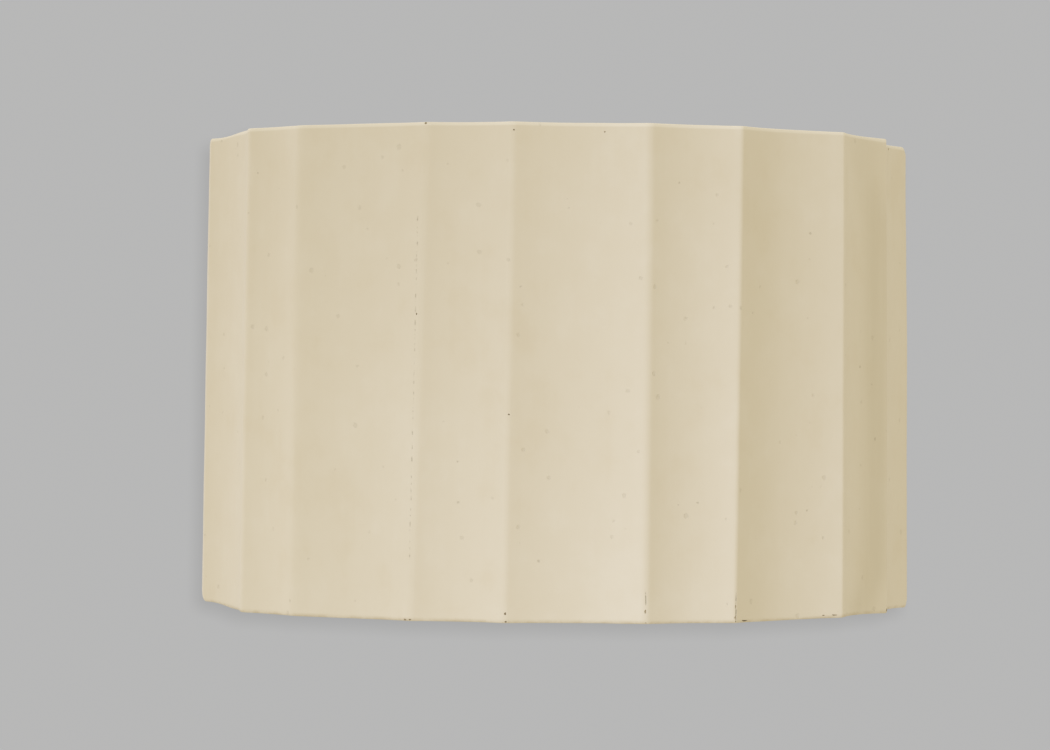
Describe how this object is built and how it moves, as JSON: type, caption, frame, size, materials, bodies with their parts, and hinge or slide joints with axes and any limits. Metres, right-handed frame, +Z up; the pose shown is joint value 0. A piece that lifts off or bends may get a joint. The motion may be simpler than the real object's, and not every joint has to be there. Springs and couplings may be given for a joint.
{
  "type": "plaster wall light",
  "caption": "Half-round plaster wall light, open above and below, with wide and narrow concave flutes, hung on a steel plate that carries an upright screw-cap lamp.",
  "frame": {"origin": "on the wall plane, on the light's centre line, at half the shell's height", "axes": "+Z up, +Y into the wall, +X to the viewer's right; the fluted front faces -Y"},
  "size_m": [0.3016, 0.1477, 0.2],
  "materials": {
    "plaster": "matte cast plaster with fine pinholes",
    "plaster_dab": "rough matte plaster",
    "plate_paint": "satin off-white powder coat",
    "zinc_steel": "bright zinc plate",
    "grommet_rubber": "matte black rubber",
    "holder_plastic": "white moulded thermoset, low gloss",
    "holder_ceramic": "unglazed steatite",
    "holder_brass": "plain brass",
    "nickel_brass": "satin nickel plate",
    "solder_tip": "dull solder",
    "bulb_black": "black vitreous insulator",
    "opal_glass": "opal white glass",
    "block_plastic": "translucent white moulding",
    "live_sleeve": "brown wire insulation",
    "neutral_sleeve": "blue wire insulation",
    "earth_sleeve": "green and yellow wire insulation",
    "tinned_copper": "tinned copper"
  },
  "bodies": {
    "fixture": {"wall_plate": "plate_paint", "left_hook": "plate_paint", "right_hook": "plate_paint", "hook_rivets": "zinc_steel", "cable_grommet": "grommet_rubber", "lamp_arm": "plate_paint", "arm_screws": "zinc_steel", "holder_nipple": "holder_brass", "nipple_washer": "zinc_steel", "nipple_nut": "holder_brass", "holder_cap": "holder_plastic", "holder_barrel": "holder_plastic", "holder_core": "holder_ceramic", "holder_screw_shell": "nickel_brass", "holder_centre_contact": "holder_brass", "holder_terminal_screws": "holder_brass", "terminal_block": "block_plastic", "terminal_tubes": "holder_brass", "terminal_screws": "zinc_steel", "block_screws": "zinc_steel", "live_wire": "live_sleeve", "neutral_wire": "neutral_sleeve", "earth_wire": "earth_sleeve", "earth_tag": "tinned_copper", "earth_washer": "zinc_steel", "earth_screw": "holder_brass"},
    "shell": {"plaster_shell": "plaster", "left_hanger": "zinc_steel", "right_hanger": "zinc_steel", "left_hanger_wad": "plaster_dab", "right_hanger_wad": "plaster_dab"},
    "bulb_rise_point": {"bulb_contact": "solder_tip"},
    "bulb": {"bulb_insulator": "bulb_black", "bulb_cap": "nickel_brass", "bulb_glass": "opal_glass"}
  },
  "joints": [
    {"name": "shell_lift", "type": "slide", "parent": "fixture", "child": "shell", "axis": [0, 0, 1], "range_m": [0, 0.24]},
    {"name": "bulb_rise", "type": "slide", "parent": "fixture", "child": "bulb_rise_point", "axis": [0, 0, 1], "range_m": [0, 0.0218]},
    {"name": "bulb_turn", "type": "hinge", "parent": "bulb_rise_point", "child": "bulb", "pos_m": [0, -0.064, 0], "axis": [0, 0, 1], "range_deg": [0, 2160]}
  ],
  "couplings": [
    {"joint": "bulb_rise", "follows": "bulb_turn", "m_per_rad": 0.00057757}
  ]
}
